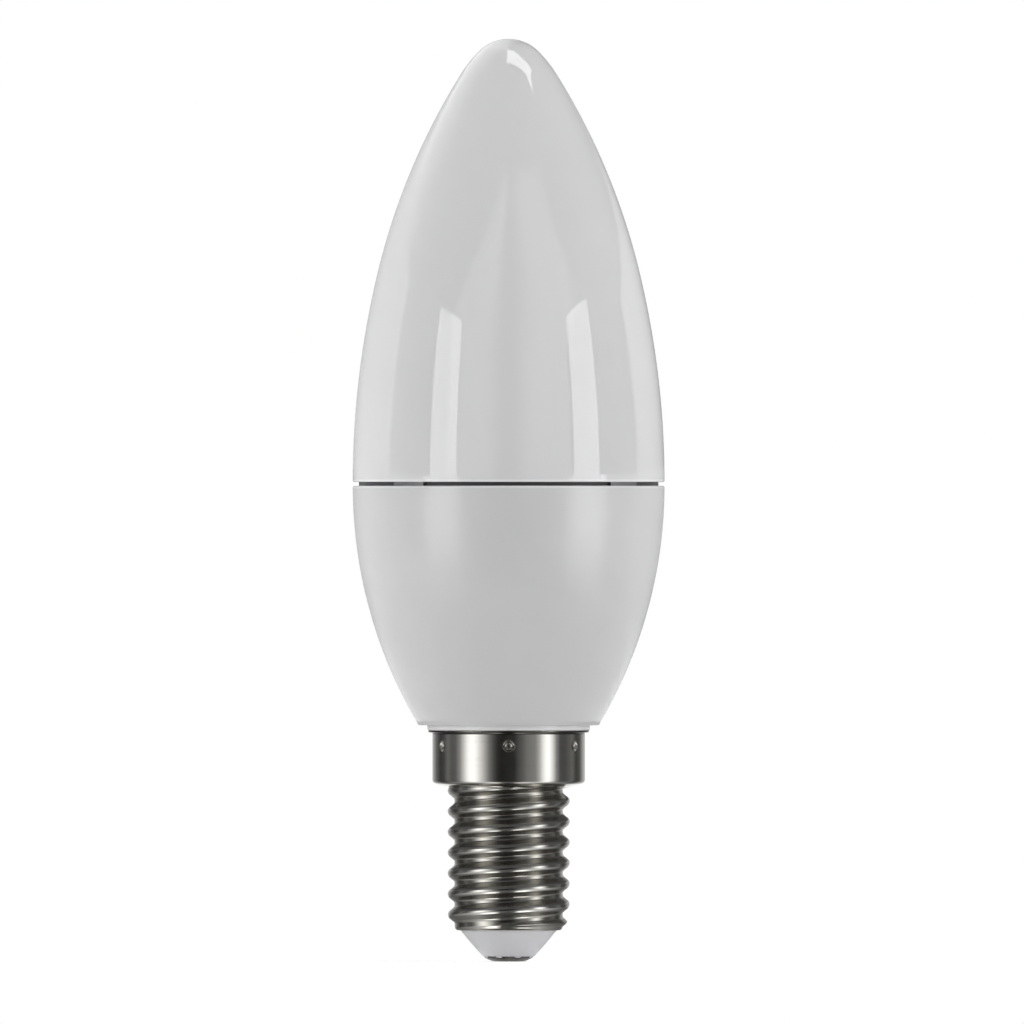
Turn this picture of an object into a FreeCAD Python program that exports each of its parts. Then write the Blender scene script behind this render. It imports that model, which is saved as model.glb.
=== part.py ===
# Candle-shaped LED lamp with a small screw cap, standing on its centre contact.
# Millimetres. The lamp's axis is Z, and Z = 0 is the flat face of the centre contact.
import FreeCAD, Part
import math
import os
import Sketcher

SIZES = {
    # diffuser: a blown opal candle, drawn as four arcs that run into each other
    "greatest_radius": 17.5,
    "diffuser_height": 49.73,
    "tip_radius": 4.7,
    "tip_angle": 44.7,
    "crown_radius": 14.3,
    "crown_angle": 13.3,
    "flank_share": 0.57,
    "rim_round": 0.18,
    # joint between the diffuser and the housing, with the plate that both are pressed on
    "joint_gap": 0.42,
    "rim_wall": 0.65,
    "plate_seat": 0.6,
    "plate_fit": 0.05,
    "tab_setback": 0.3,
    "tab_width": 4.4,
    "tab_angle": 49.0,
    "tab_count": 4,
    # housing: the moulded lower half and the plug that goes down into the cap
    "housing_height": 26.85,
    "housing_foot_radius": 10.13,
    "foot_round": 0.12,
    "neck_height": 0.53,
    "neck_radius": 9.12,
    "plug_fit": 0.1,
    # screw cap: one drawn and rolled sheet
    "sheet": 0.3,
    "lip_radius": 9.03,
    "lip_bend": 0.2,
    "collar_radius": 8.55,
    "collar_height": 5.68,
    "collar_round": 0.45,
    "shoulder_angle": 14.8,
    "threaded_height": 15.86,
    "thread_radius": 6.85,
    "thread_depth": 0.765,
    "thread_pitch": 2.32,
    "thread_flank_angle": 52.0,
    "thread_land_angle": 17.0,
    "thread_start": 0.57,
    "lead_height": 0.62,
    "rim_curl": 0.42,
    "opening_radius": 5.5,
    # punched pits that fix the cap to the housing's plug
    "pit_count": 6,
    "pit_drop": 1.52,
    "pit_radius": 0.6,
    "pit_depth": 0.38,
    # insulator and centre contact
    "insulator_show": 2.92,
    "insulator_foot_radius": 2.92,
    "insulator_flange": 1.2,
    "insulator_fit": 0.1,
    "contact_height": 0.58,
    "contact_radius": 2.71,
    "contact_face_radius": 1.5,
    "contact_edge": 0.12,
    "contact_dome": 2.6,
    "stem_radius": 0.8,
    "stem_fit": 0.05,
    "stem_height": 3.9,
    "flute_count": 8,
    "flute_radius": 0.62,
    "flute_depth": 0.2,
    "flute_length": 0.55,
}

SHEET_NAME = "Dims"
FULL_TURN = 360
QUARTER_TURN = 90
EDGE_MATCH = 1e-4


class Size:
    """A length or angle that carries its value and the formula that ties it to the sheet."""

    def __init__(self, value, text):
        self.value = float(value)
        self.text = text

    def __add__(self, other):
        other = as_size(other)
        return Size(self.value + other.value, f"({self.text} + {other.text})")

    def __sub__(self, other):
        other = as_size(other)
        return Size(self.value - other.value, f"({self.text} - {other.text})")

    def __mul__(self, other):
        other = as_size(other)
        return Size(self.value * other.value, f"({self.text} * {other.text})")

    def __truediv__(self, other):
        other = as_size(other)
        return Size(self.value / other.value, f"({self.text} / {other.text})")

    def __neg__(self):
        return Size(-self.value, f"(0 - {self.text})")

    def __radd__(self, other):
        return as_size(other) + self

    def __rsub__(self, other):
        return as_size(other) - self

    def __rmul__(self, other):
        return as_size(other) * self

    def __rtruediv__(self, other):
        return as_size(other) / self


def as_size(number):
    """A plain number as a Size, so that formulas may mix the two."""
    return number if isinstance(number, Size) else Size(number, repr(number))


def size(name):
    """The driving dimension of that name."""
    return Size(SIZES[name], f"{SHEET_NAME}.{name}")


def sine(angle):
    return Size(math.sin(math.radians(angle.value)), f"sin({angle.text})")


def cosine(angle):
    return Size(math.cos(math.radians(angle.value)), f"cos({angle.text})")


def tangent(angle):
    return Size(math.tan(math.radians(angle.value)), f"tan({angle.text})")


def make_sheet(doc):
    """The spreadsheet of driving dimensions, a name beside each number."""
    sheet = doc.addObject("Spreadsheet::Sheet", SHEET_NAME)
    for row, (name, value) in enumerate(SIZES.items(), start=1):
        sheet.set(f"A{row}", name)
        sheet.set(f"B{row}", str(value))
        sheet.setAlias(f"B{row}", name)
    doc.recompute()


def new_body(doc, name, level):
    """A body for one sub-part, set down on the lamp's axis at its own level."""
    body = doc.addObject("PartDesign::Body", name)
    body.Label = name
    body.setExpression("Placement.Base.z", as_size(level).text)
    return body


def new_sketch(body, name, role="XZ_Plane", turn=None, lift=None, lift_axis="z"):
    """A sketch on an origin plane of its body, turned about the lamp's axis or lifted when asked."""
    sketch = body.newObject("Sketcher::SketchObject", name)
    plane = next(item for item in body.Origin.OriginFeatures if item.Role == role)
    sketch.AttachmentSupport = [(plane, "")]
    sketch.MapMode = "FlatFace"
    if turn is not None:
        upright = FreeCAD.Vector(0, 1, 0) if role == "XZ_Plane" else FreeCAD.Vector(0, 0, 1)
        sketch.AttachmentOffset = FreeCAD.Placement(
            FreeCAD.Vector(), FreeCAD.Rotation(upright, turn.value))
        sketch.setExpression("AttachmentOffset.Rotation.Angle", turn.text)
    if lift is not None:
        sketch.setExpression(f"AttachmentOffset.Base.{lift_axis}", lift.text)
    return sketch


def bind(sketch, constraint, name, wanted):
    """Add a dimension to a sketch and tie it to its formula."""
    number = sketch.addConstraint(constraint)
    sketch.renameConstraint(number, name)
    sketch.setExpression(f"Constraints.{name}", wanted.text)


def hold(sketch, geometry, end, x, y):
    """Hold one end of a line or arc at x and y from the sketch's origin; a plain 0 means on the axis."""
    # In a sketch, geometry -1 is the axis across, -2 is the upright one, and point 1 of -1 is the origin.
    if isinstance(x, Size):
        bind(sketch, Sketcher.Constraint("DistanceX", -1, 1, geometry, end, x.value), f"x{geometry}", x)
    else:
        sketch.addConstraint(Sketcher.Constraint("PointOnObject", geometry, end, -2))
    if isinstance(y, Size):
        bind(sketch, Sketcher.Constraint("DistanceY", -1, 1, geometry, end, y.value), f"y{geometry}", y)
    else:
        sketch.addConstraint(Sketcher.Constraint("PointOnObject", geometry, end, -1))


def centre_of(start, end, radius, side):
    """Centre of the arc from start to end; side 1 puts it left of the way there, -1 right."""
    chord = end - start
    half = chord.Length / 2
    away = FreeCAD.Vector(-chord.y, chord.x, 0).normalize()
    return (start + end) * 0.5 + away * side * math.sqrt(radius * radius - half * half)


def add_arc(sketch, start, end, centre, side):
    """Add an arc and return its number with the ends that lie at start and at end."""
    radius = (start - centre).Length
    first, last = (start, end) if side > 0 else (end, start)
    angles = [math.atan2(point.y - centre.y, point.x - centre.x) for point in (first, last)]
    if angles[1] < angles[0]:
        angles[1] += 2 * math.pi
    circle = Part.Circle(centre, FreeCAD.Vector(0, 0, 1), radius)
    number = sketch.addGeometry(Part.ArcOfCircle(circle, *angles))
    return (number, 1, 2) if side > 0 else (number, 2, 1)


def draw_outline(sketch, corners):
    """Closed outline through corners (x, y) by lines, or by an arc where a corner adds (radius, side).

    A radius of None gives half a circle on the axis across, as wide as its two corners are apart.
    """
    def spot(corner):
        return FreeCAD.Vector(as_size(corner[0]).value, as_size(corner[1]).value, 0)

    pieces = []
    for before, corner in zip([corners[-1]] + corners[:-1], corners):
        start, end = spot(before), spot(corner)
        if len(corner) == 2:
            pieces.append((sketch.addGeometry(Part.LineSegment(start, end)), 1, 2))
        else:
            radius, side = corner[2:]
            centre = (start + end) * 0.5 if radius is None else centre_of(start, end, radius.value, side)
            pieces.append(add_arc(sketch, start, end, centre, side))
    for piece, following in zip(pieces, pieces[1:] + pieces[:1]):
        sketch.addConstraint(Sketcher.Constraint("Coincident", piece[0], piece[2], *following[:2]))
    for piece, corner in zip(pieces, corners):
        hold(sketch, piece[0], piece[2], corner[0], corner[1])
        if len(corner) == 4 and corner[2] is None:
            sketch.addConstraint(Sketcher.Constraint("PointOnObject", piece[0], 3, -1))
        elif len(corner) == 4:
            radius = corner[2]
            bind(sketch, Sketcher.Constraint("Radius", piece[0], radius.value), f"radius{piece[0]}", radius)
    return sketch


def turned(body, kind, sketch, axis="V_Axis"):
    """A full turn of a sketch about one of its axes, as a Revolution or a Groove."""
    feature = body.newObject(f"PartDesign::{kind}", f"{sketch.Name}_{kind.lower()}")
    feature.Profile = sketch
    feature.ReferenceAxis = (sketch, [axis])
    feature.Angle = FULL_TURN
    sketch.Document.recompute()
    return feature


def repeated(body, feature, count, sketch, axis="V_Axis"):
    """A feature repeated evenly round the lamp's axis, which is that axis of its sketch."""
    pattern = body.newObject("PartDesign::PolarPattern", f"{feature.Name}_pattern")
    pattern.Originals = [feature]
    pattern.Axis = (sketch, [axis])
    pattern.Angle = FULL_TURN
    pattern.setExpression("Occurrences", count.text)
    body.Tip = pattern
    body.Document.recompute()
    return pattern


def ring_edges(feature, radius, level):
    """Names of a feature's round edges of that radius at that level of its body."""
    names = []
    for number, edge in enumerate(feature.Shape.Edges, start=1):
        if edge.Degenerated or not isinstance(edge.Curve, Part.Circle):
            continue
        off = abs(edge.Curve.Radius - radius.value) + abs(edge.Curve.Center.z - level.value)
        if off < EDGE_MATCH:
            names.append(f"Edge{number}")
    return names


def rounded(body, feature, radius, level, fillet):
    """A fillet on a feature's round edges of that radius at that level."""
    rounding = body.newObject("PartDesign::Fillet", f"{feature.Name}_fillet")
    rounding.Base = (feature, ring_edges(feature, radius, level))
    rounding.setExpression("Radius", fillet.text)
    body.Document.recompute()
    return rounding


# Levels along the axis, each from the pieces below it.
insulator_level = size("contact_height")
shell_level = insulator_level + size("insulator_show")
thread_root = size("thread_radius") - size("thread_depth")
shoulder_rise = (size("collar_radius") - thread_root) * tangent(size("shoulder_angle"))
collar_foot = size("threaded_height") + shoulder_rise
lip_level = collar_foot + size("collar_height")
shell_height = lip_level + size("sheet")
# Inside corners of the drawn sheet lie this far up from the outside ones.
corner_lift = size("sheet") * (1 - sine(size("shoulder_angle"))) / cosine(size("shoulder_angle"))
bore_radius = thread_root - size("sheet")
collar_bore = size("collar_radius") - size("sheet")
housing_level = shell_level + shell_height
housing_top = size("neck_height") + size("housing_height")
plate_room = size("greatest_radius") - size("rim_wall")
plate_level = housing_level + housing_top - size("plate_seat")
plate_thickness = 2 * size("plate_seat") + size("joint_gap")
diffuser_level = housing_level + housing_top + size("joint_gap")
# Each pit is part of a ball whose middle lies outside the collar, on the side towards the front.
pit_ball = size("pit_radius") * size("pit_radius") / (2 * size("pit_depth")) + size("pit_depth") / 2
pit_middle = size("pit_depth") - size("collar_radius") - pit_ball
pit_level = lip_level - size("pit_drop")


def make_diffuser(doc):
    """Opal diffuser: tip, crown, flank and belly arcs that meet with no corner, upright at the rim."""
    body = new_body(doc, "diffuser", diffuser_level)
    widest, height, seat = size("greatest_radius"), size("diffuser_height"), size("plate_seat")
    tip, crown = size("tip_radius"), size("crown_radius")
    crown_start = QUARTER_TURN - size("tip_angle")
    flank_start = crown_start - size("crown_angle")
    # The flank takes its share of the turn that is left, and the belly the rest.
    belly_start = flank_start * (1 - size("flank_share"))
    # Each arc starts where the one above ends, and the angles are those of its outward normals.
    crown_x, crown_y = tip * cosine(crown_start), height - tip + tip * sine(crown_start)
    flank_x = crown_x + crown * (cosine(flank_start) - cosine(crown_start))
    flank_y = crown_y + crown * (sine(flank_start) - sine(crown_start))
    # The last two radii follow, because the belly has to end upright at the rim's radius.
    out, down = widest - flank_x, flank_y
    flank_out = cosine(belly_start) - cosine(flank_start)
    flank_down = sine(flank_start) - sine(belly_start)
    belly_out, belly_down = 1 - cosine(belly_start), sine(belly_start)
    share = flank_out * belly_down - flank_down * belly_out
    flank = (out * belly_down - down * belly_out) / share
    belly = (down * flank_out - out * flank_down) / share
    belly_x, belly_y = flank_x + flank * flank_out, flank_y - flank * flank_down
    sketch = new_sketch(body, "diffuser_outline")
    draw_outline(sketch, [
        (0, seat), (plate_room, seat), (plate_room, 0), (widest, 0),
        (belly_x, belly_y, belly, 1), (flank_x, flank_y, flank, 1),
        (crown_x, crown_y, crown, 1), (0, height, tip, 1),
    ])
    blown = turned(body, "Revolution", sketch)
    rounded(body, blown, widest, Size(0, "0"), size("rim_round"))
    return body


def make_carrier_plate(doc):
    """Round aluminium plate in the joint, whose edge shows as the dark line, and its four tabs."""
    body = new_body(doc, "carrier_plate", plate_level)
    radius, reach = plate_room - size("plate_fit"), size("greatest_radius") - size("tab_setback")
    sketch = new_sketch(body, "plate_outline")
    draw_outline(sketch, [(0, 0), (radius, 0), (radius, plate_thickness), (0, plate_thickness)])
    turned(body, "Revolution", sketch)
    half = size("tab_width") / 2
    inner = radius - half
    tab = new_sketch(body, "tab_outline", "XY_Plane", turn=size("tab_angle"), lift=size("plate_seat"))
    corner = Size(math.sqrt(reach.value ** 2 - half.value ** 2),
                  f"sqrt({reach.text} * {reach.text} - {half.text} * {half.text})")
    draw_outline(tab, [(-half, -inner), (-half, -corner), (half, -corner, reach, 1), (half, -inner)])
    pad = body.newObject("PartDesign::Pad", "tab_pad")
    pad.Profile = tab
    pad.setExpression("Length", size("joint_gap").text)
    doc.recompute()
    repeated(body, pad, size("tab_count"), tab, "N_Axis")
    return body


def make_housing(doc):
    """Moulded housing: its swelling side, the neck on the cap's lip and the stepped plug in the cap."""
    body = new_body(doc, "housing", housing_level)
    fit, seat = size("plug_fit"), size("plate_seat")
    widest, foot, rise = size("greatest_radius"), size("housing_foot_radius"), size("housing_height")
    swell = widest - foot
    curve = (rise * rise + swell * swell) / (2 * swell)
    plug, stem = collar_bore - fit, bore_radius - fit
    # The plug follows the inside of the shoulder, moved in and up by the fit.
    plug_foot = collar_foot + corner_lift + fit - shell_height
    stem_top = size("threaded_height") + corner_lift + fit - shell_height
    stem_foot = size("sheet") + size("insulator_flange") + fit - shell_height
    sketch = new_sketch(body, "housing_outline")
    draw_outline(sketch, [
        (0, stem_foot), (stem, stem_foot), (stem, stem_top), (plug, plug_foot), (plug, 0),
        (size("neck_radius"), 0), (size("neck_radius"), size("neck_height")), (foot, size("neck_height")),
        (widest, housing_top, curve, 1), (plate_room, housing_top), (plate_room, housing_top - seat),
        (0, housing_top - seat),
    ])
    moulded = turned(body, "Revolution", sketch)
    moulded = rounded(body, moulded, widest, housing_top, size("rim_round"))
    rounded(body, moulded, foot, size("neck_height"), size("foot_round"))
    # Hollows in the plug for the inner side of the pits.
    hollow = size("sheet") + fit
    room = new_sketch(body, "pit_room", "YZ_Plane", lift=pit_level - shell_height, lift_axis="y")
    room_ball = pit_ball + hollow
    draw_outline(room, [(pit_middle - room_ball, 0), (pit_middle + room_ball, 0, None, -1)])
    repeated(body, turned(body, "Groove", room, "H_Axis"), size("pit_count"), room)
    return body


def make_screw_shell(doc):
    """Screw cap: lip, collar, sloping shoulder, rolled thread and a rim curled in at the bottom."""
    body = new_body(doc, "screw_shell", shell_level)
    sheet, collar, lip = size("sheet"), size("collar_radius"), size("lip_radius")
    blank = new_sketch(body, "blank_outline")
    draw_outline(blank, [
        (0, 0), (thread_root, 0), (thread_root, size("threaded_height")), (collar, collar_foot),
        (collar, lip_level), (lip, lip_level), (lip, shell_height), (0, shell_height),
    ])
    solid = turned(body, "Revolution", blank)
    solid = rounded(body, solid, collar, collar_foot, size("collar_round"))
    rounded(body, solid, collar, lip_level, size("lip_bend"))
    roll_thread(body)
    trim_lead(body)
    inside, opening = new_sketch(body, "inside_outline"), size("opening_radius")
    draw_outline(inside, [
        (0, -sheet), (opening, -sheet), (opening, sheet), (bore_radius, sheet),
        (bore_radius, size("threaded_height") + corner_lift), (collar_bore, collar_foot + corner_lift),
        (collar_bore, shell_height + sheet), (0, shell_height + sheet),
    ])
    turned(body, "Groove", inside)
    punch_pits(body)
    return body


def roll_thread(body):
    """Rounded ridge of the thread: straight flanks, with a bevel and a land in place of the arc."""
    half, flank = size("thread_pitch") / 2, size("thread_flank_angle")
    start = size("thread_start") - size("thread_pitch")
    # Crest and root share one radius, which follows from the pitch, the depth and the flank angle.
    bend = (half * tangent(flank) - size("thread_depth")) / (2 * (1 / cosine(flank) - 1))
    land = size("thread_land_angle")
    crest = size("thread_radius")
    land_x, land_y = crest, bend * sine(land)
    bevel_x, bevel_y = crest - bend * (1 - cosine(flank)), bend * sine(flank)
    foot_y = bevel_y + (bevel_x - thread_root) / tangent(flank)
    buried = thread_root - size("sheet") / 2
    ridge = new_sketch(body, "ridge_outline")
    draw_outline(ridge, [
        (buried, start - foot_y), (thread_root, start - foot_y), (bevel_x, start - bevel_y),
        (land_x, start - land_y), (land_x, start + land_y), (bevel_x, start + bevel_y),
        (thread_root, start + foot_y), (buried, start + foot_y),
    ])
    helix = body.newObject("PartDesign::AdditiveHelix", "ridge")
    helix.Profile = ridge
    helix.ReferenceAxis = (ridge, ["V_Axis"])
    helix.Mode = "pitch-height-angle"
    helix.setExpression("Pitch", size("thread_pitch").text)
    # The top end runs on until it lies wholly inside the blank's collar.
    helix.setExpression("Height", (collar_foot + half - start).text)
    body.Document.recompute()


def trim_lead(body):
    """Curl of the rim, and the slope on which the thread runs out at the bottom."""
    curl, depth, sheet = size("rim_curl"), size("thread_depth"), size("sheet")
    inner, outer = thread_root - curl, size("thread_radius") + sheet
    slope_top = curl + (depth + sheet) * size("lead_height") / depth
    low = -2 * size("thread_pitch")
    lead = new_sketch(body, "lead_outline")
    draw_outline(lead, [
        (inner, low), (inner, 0), (thread_root, curl, curl, 1), (outer, slope_top), (outer, low),
    ])
    turned(body, "Groove", lead)


def punch_pits(body):
    """Pits punched into the collar: the sheet's inner side is pushed in with the outer one."""
    count, skin = size("pit_count"), size("sheet")
    ball = pit_ball + skin
    start = -(size("collar_radius") - skin / 2)
    reach = start - pit_middle
    rise = Size(math.sqrt(ball.value ** 2 - reach.value ** 2),
                f"sqrt({ball.text} * {ball.text} - {reach.text} * {reach.text})")
    bump = new_sketch(body, "pit_bump", "YZ_Plane", lift=pit_level, lift_axis="y")
    draw_outline(bump, [(start, 0), (pit_middle + ball, 0), (start, rise, ball, 1)])
    repeated(body, turned(body, "Revolution", bump, "H_Axis"), count, bump)
    pit = new_sketch(body, "pit", "YZ_Plane", lift=pit_level, lift_axis="y")
    draw_outline(pit, [(pit_middle - pit_ball, 0), (pit_middle + pit_ball, 0, None, -1)])
    repeated(body, turned(body, "Groove", pit, "H_Axis"), count, pit)


def make_insulator(doc):
    """Insulator: a plain cone below the rim, a neck through the opening and a flange inside the cap."""
    body = new_body(doc, "insulator", insulator_level)
    fit, show = size("insulator_fit"), size("insulator_show")
    bore, neck = size("stem_radius") + size("stem_fit"), size("opening_radius") - fit
    flange, seat = bore_radius - fit, show + size("sheet")
    top = seat + size("insulator_flange")
    sketch = new_sketch(body, "insulator_outline")
    draw_outline(sketch, [
        (bore, 0), (size("insulator_foot_radius"), 0), (neck, show), (neck, seat), (flange, seat),
        (flange, top), (bore, top),
    ])
    turned(body, "Revolution", sketch)
    return body


def make_centre_contact(doc):
    """Centre contact: a stamped head with a flat face and a fluted upper edge, and its stem."""
    body = new_body(doc, "centre_contact", Size(0, "0"))
    head, face, high = size("contact_radius"), size("contact_face_radius"), size("contact_height")
    stem, stem_top = size("stem_radius"), size("contact_height") + size("stem_height")
    sketch = new_sketch(body, "contact_outline")
    draw_outline(sketch, [
        (0, 0), (face, 0), (head, high - size("contact_edge"), size("contact_dome"), 1), (head, high),
        (stem, high), (stem, stem_top), (0, stem_top),
    ])
    turned(body, "Revolution", sketch)
    axis = high + size("flute_radius") - size("flute_depth")
    inner = head - size("flute_length")
    between = FULL_TURN / 2 / size("flute_count")
    flute = new_sketch(body, "flute", turn=QUARTER_TURN + between, lift=axis, lift_axis="y")
    outer = head + size("flute_length")
    bar = size("flute_radius")
    draw_outline(flute, [(inner, 0), (outer, 0), (outer, bar), (inner, bar)])
    repeated(body, turned(body, "Groove", flute, "H_Axis"), size("flute_count"), flute)
    return body


def check(doc, bodies):
    """Stop on any failed feature, and on any sub-part that isn't one valid solid."""
    doc.recompute()
    for item in doc.Objects:
        if "Invalid" in item.State or "Error" in item.State:
            raise RuntimeError(f"{item.Name} failed: {item.State}")
    for body in bodies:
        shape = body.Shape
        if shape.isNull() or not shape.isValid() or len(shape.Solids) != 1:
            raise RuntimeError(f"{body.Label} is not one valid solid")


def main():
    doc = FreeCAD.newDocument("candle_lamp")
    make_sheet(doc)
    bodies = [
        make_diffuser(doc), make_carrier_plate(doc), make_housing(doc),
        make_screw_shell(doc), make_insulator(doc), make_centre_contact(doc),
    ]
    check(doc, bodies)
    os.makedirs("parts", exist_ok=True)
    for body in bodies:
        body.Shape.exportStep(f"parts/{body.Label}.step")
        print(body.Label, "volume", round(body.Shape.Volume, 2))


main()
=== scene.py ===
# Candle lamp with a small screw cap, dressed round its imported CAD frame.
# Every piece is worked out in millimetres on the lamp's axis and put down in metres.
import math

import bpy
import numpy as np
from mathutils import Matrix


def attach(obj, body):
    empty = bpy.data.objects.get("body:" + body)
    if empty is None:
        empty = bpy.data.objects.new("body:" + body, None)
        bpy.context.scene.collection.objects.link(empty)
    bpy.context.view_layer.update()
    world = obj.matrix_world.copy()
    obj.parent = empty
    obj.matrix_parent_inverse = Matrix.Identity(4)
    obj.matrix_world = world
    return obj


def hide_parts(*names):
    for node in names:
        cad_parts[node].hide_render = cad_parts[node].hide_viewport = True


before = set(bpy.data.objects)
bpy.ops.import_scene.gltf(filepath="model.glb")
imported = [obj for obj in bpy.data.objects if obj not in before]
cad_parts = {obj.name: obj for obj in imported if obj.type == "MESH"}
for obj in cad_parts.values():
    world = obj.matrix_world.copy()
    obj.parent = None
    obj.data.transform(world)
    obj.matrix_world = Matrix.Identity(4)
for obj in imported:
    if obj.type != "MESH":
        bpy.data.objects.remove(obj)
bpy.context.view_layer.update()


# Centre contact: a stamped and tinned brass button with a flat face, a domed edge and eight
# small flutes pressed into its upper rim. Its stem goes up through the insulator.
MM = 0.001
contact_face, contact_rim, contact_top = 1.5, 2.71, 0.58
contact_rim_low, contact_rim_high, contact_rim_edge = 0.48, 0.55, 0.03
stem, stem_end, stem_edge = 0.8, 4.48, 0.1
flute_count, flute_radius, flute_depth, flute_inner, flute_foot = 8, 0.62, 0.2, 2.16, 0.44


def around(columns):
    """Angles of evenly spaced columns round the lamp's axis, from zero to just under a full turn."""
    return np.linspace(0, 2 * np.pi, columns, endpoint=False)


def bend(start, end, radius, steps):
    """Points on an arc of that radius from start to end. It bulges to the right of the way there: the
    centre lies left of the chord's middle by the root of radius squared less half chord squared."""
    start, end = np.array(start, float), np.array(end, float)
    chord = end - start
    half = np.hypot(*chord) / 2
    left = np.array([-chord[1], chord[0]]) / (2 * half)
    centre = (start + end) / 2 + left * math.sqrt(max(radius * radius - half * half, 0))
    first = math.atan2(*(start - centre)[::-1])
    turn = 2 * math.asin(min(half / radius, 1))
    angle = first + turn * np.linspace(0, 1, steps + 1)
    return centre + radius * np.stack([np.cos(angle), np.sin(angle)], -1)


def outline(start, *corners):
    """Profile of radius and height from start through corners. A corner says in how many steps it is
    reached and, where the way is an arc, the arc's radius, with a minus if it bulges to the left."""
    runs = [np.array([start], float)]
    for radius, height, steps, *arc in corners:
        end = (radius, height)
        if not arc:
            run = np.linspace(start, end, steps + 1)
        elif arc[0] > 0:
            run = bend(start, end, arc[0], steps)
        else:
            run = bend(end, start, -arc[0], steps)[::-1]
        runs.append(run[1:])
        start = end
    return np.concatenate(runs)


def spread(profile, angle):
    """The profile's radius and height at every angle, as two grids of rows and columns."""
    ones = np.ones((1, len(angle)))
    return profile[:, :1] * ones, profile[:, 1:] * ones


def lathe(name, radius, height, angle, crease=40):
    """Closed surface round the lamp's axis: row i and column j lie at angle[j], radius[i, j] and
    height[i, j]. The rows run up the outside. Where the first or last row has no radius it becomes a
    pole; where neither has, the last row joins the first."""
    poles = radius[0].max() < 1e-9
    rim_highlight_band = slice(1, -1) if poles else slice(None)
    r, z = radius[rim_highlight_band], height[rim_highlight_band]
    rows, columns = r.shape
    points = np.stack([r * np.cos(angle), r * np.sin(angle), z], -1).reshape(-1, 3)
    number = np.arange(rows * columns).reshape(rows, columns)
    low = number[:-1] if poles else number
    high = number[1:] if poles else np.roll(number, -1, axis=0)
    quads = np.stack([low, np.roll(low, -1, 1), np.roll(high, -1, 1), high], -1).reshape(-1, 4)
    faces = quads.tolist()
    if poles:
        foot, top = len(points), len(points) + 1
        points = np.concatenate([points, [[0, 0, height[0, 0]], [0, 0, height[-1, 0]]]])
        first, last = number[0], number[-1]
        faces += np.stack([np.full(columns, foot), np.roll(first, -1), first], -1).tolist()
        faces += np.stack([np.full(columns, top), last, np.roll(last, -1)], -1).tolist()
    mesh = bpy.data.meshes.new(name)
    mesh.from_pydata((points * MM).tolist(), [], faces)
    mesh.polygons.foreach_set("use_smooth", np.ones(len(faces), bool))
    mesh.set_sharp_from_angle(angle=math.radians(crease))
    mesh.update()
    piece = bpy.data.objects.new(name, mesh)
    bpy.context.scene.collection.objects.link(piece)
    return piece


def finish_material(name, colour, roughness, metallic=0.0):
    """New material with its Principled shader set to plain values, and its nodes and links."""
    material = bpy.data.materials.new(name)
    material.use_nodes = True
    nodes, links = material.node_tree.nodes, material.node_tree.links
    shader = nodes["Principled BSDF"]
    shader.inputs["Base Color"].default_value = (*colour, 1)
    shader.inputs["Roughness"].default_value = roughness
    shader.inputs["Metallic"].default_value = metallic
    return material, nodes, links, shader


def new_group(name, inputs, outputs):
    """Empty shader node group with named number inputs and outputs, and its two end nodes."""
    group = bpy.data.node_groups.new(name, "ShaderNodeTree")
    for label, value in inputs.items():
        socket = group.interface.new_socket(label, in_out="INPUT", socket_type="NodeSocketFloat")
        socket.default_value = value
    for label in outputs:
        group.interface.new_socket(label, in_out="OUTPUT", socket_type="NodeSocketFloat")
    return group, group.nodes.new("NodeGroupInput"), group.nodes.new("NodeGroupOutput")


def math_node(nodes, links, kind, first, second=None, third=None):
    """Math node of that kind between sockets or numbers; gives its output socket."""
    node = nodes.new("ShaderNodeMath")
    node.operation = kind
    for slot, value in enumerate((first, second, third)):
        if value is None:
            continue
        if isinstance(value, (int, float)):
            node.inputs[slot].default_value = value
        else:
            links.new(value, node.inputs[slot])
    return node.outputs[0]


def own_place(nodes, links):
    """The object's own x, y and z, as three sockets."""
    place = nodes.new("ShaderNodeTexCoord")
    split = nodes.new("ShaderNodeSeparateXYZ")
    links.new(place.outputs["Object"], split.inputs[0])
    return split.outputs


def off_axis(nodes, links):
    """Distance from the lamp's axis: the root of x squared and y squared."""
    x, y = own_place(nodes, links)[:2]
    squared = math_node(nodes, links, "MULTIPLY_ADD", y, y, math_node(nodes, links, "MULTIPLY", x, x))
    return math_node(nodes, links, "SQRT", squared)


def ranged(nodes, links, value, low, high, to_low, to_high):
    """Map Range node from low..high to to_low..to_high, smooth at both ends; gives its output."""
    node = nodes.new("ShaderNodeMapRange")
    node.interpolation_type = "SMOOTHSTEP"
    links.new(value, node.inputs["Value"])
    for label, number in zip(("From Min", "From Max", "To Min", "To Max"), (low, high, to_low, to_high)):
        node.inputs[label].default_value = number
    return node.outputs["Result"]


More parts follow.
